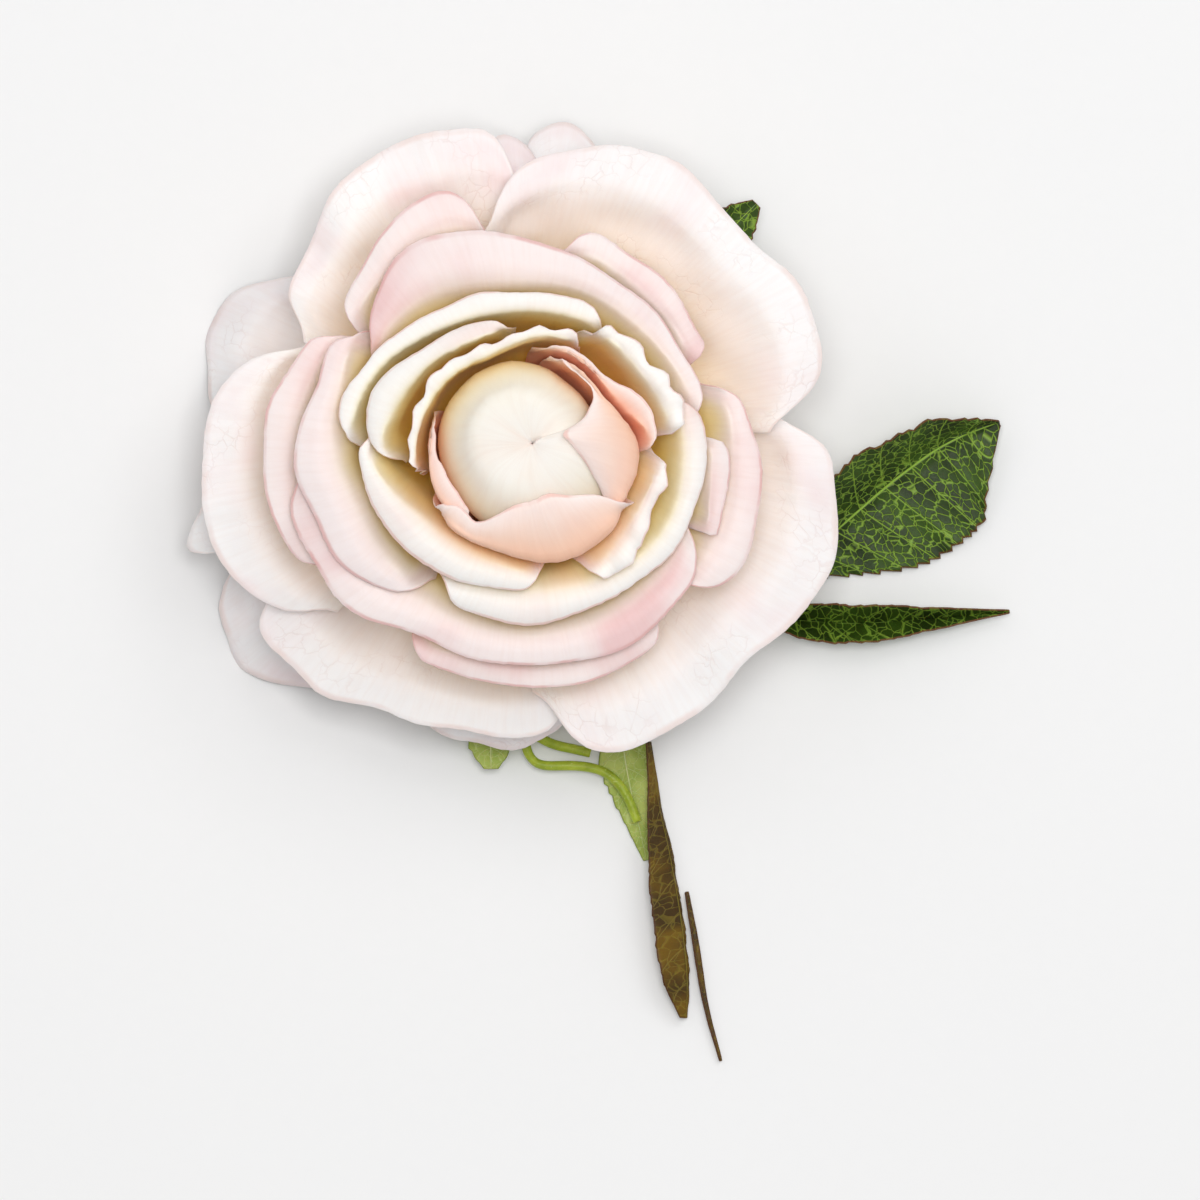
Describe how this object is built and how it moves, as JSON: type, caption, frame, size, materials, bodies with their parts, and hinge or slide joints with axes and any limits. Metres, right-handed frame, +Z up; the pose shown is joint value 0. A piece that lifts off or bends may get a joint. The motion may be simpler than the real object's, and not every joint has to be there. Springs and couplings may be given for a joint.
{
  "type": "cut rose",
  "caption": "Full garden rose head in ivory and palest pink, lying face up on its short cut stem, with leaf sprigs spread at its side and foot.",
  "frame": {"origin": "bottom centre of the box around the whole rose, on the surface it lies on", "axes": "+Z up out of the flower's open face, +Y away from the viewer, +X to the viewer's right; the foot sprig lies towards -Y"},
  "size_m": [0.1286, 0.1474, 0.0561],
  "materials": {
    "petal_heart": "soft, warm ivory with a blush fold",
    "petal_blush": "soft, peach blush with ivory rims",
    "petal_ivory": "soft, ivory turning to mustard at the base",
    "petal_pink": "soft, palest pink turning to yellow at the base",
    "petal_guard": "soft, pale pink and ivory with a fine crackled grain",
    "sepal_green": "matt green",
    "receptacle_green": "matt green",
    "stem_green": "satin green",
    "stalk_green": "satin yellow green",
    "leaf_dark": "dark green with a net of light veins",
    "leaf_bronze": "bronze brown with light veins",
    "leaf_underside": "matt pale green"
  },
  "bodies": {
    "root": {"heart_petal": "petal_heart", "bud_petal_1": "petal_blush", "bud_petal_2": "petal_blush", "bud_petal_3": "petal_blush", "bud_petal_4": "petal_blush", "ruffle_petal_1": "petal_ivory", "ruffle_petal_2": "petal_ivory", "ruffle_petal_3": "petal_ivory", "cup_petal_1": "petal_ivory", "cup_petal_2": "petal_ivory", "cup_petal_3": "petal_ivory", "cup_petal_4": "petal_ivory", "ring_petal_1": "petal_pink", "ring_petal_2": "petal_pink", "ring_petal_3": "petal_pink", "ring_petal_4": "petal_pink", "ring_petal_5": "petal_pink", "ring_petal_6": "petal_pink", "skirt_petal_1": "petal_pink", "skirt_petal_2": "petal_pink", "skirt_petal_3": "petal_pink", "guard_petal_1": "petal_guard", "guard_petal_2": "petal_guard", "guard_petal_3": "petal_guard", "guard_petal_4": "petal_guard", "guard_petal_5": "petal_guard", "under_petal_1": "petal_guard", "under_petal_2": "petal_guard", "under_petal_3": "petal_guard", "under_petal_4": "petal_guard", "under_petal_5": "petal_guard", "under_petal_6": "petal_guard", "receptacle": "receptacle_green", "sepal_1": "sepal_green", "sepal_2": "sepal_green", "sepal_3": "sepal_green", "sepal_4": "sepal_green", "sepal_5": "sepal_green", "right_leaflet_1": "leaf_dark", "right_leaflet_2": "leaf_dark", "top_leaflet": "leaf_dark", "bottom_leaflet_1": "leaf_bronze", "bottom_leaflet_2": "leaf_bronze", "bottom_leaflet_3": "leaf_underside", "bottom_leaflet_4": "leaf_underside", "stem": "stem_green", "right_stalk": "stalk_green", "top_stalk": "stalk_green", "bottom_stalk": "stalk_green", "bottom_branch": "stalk_green"}
  },
  "joints": []
}
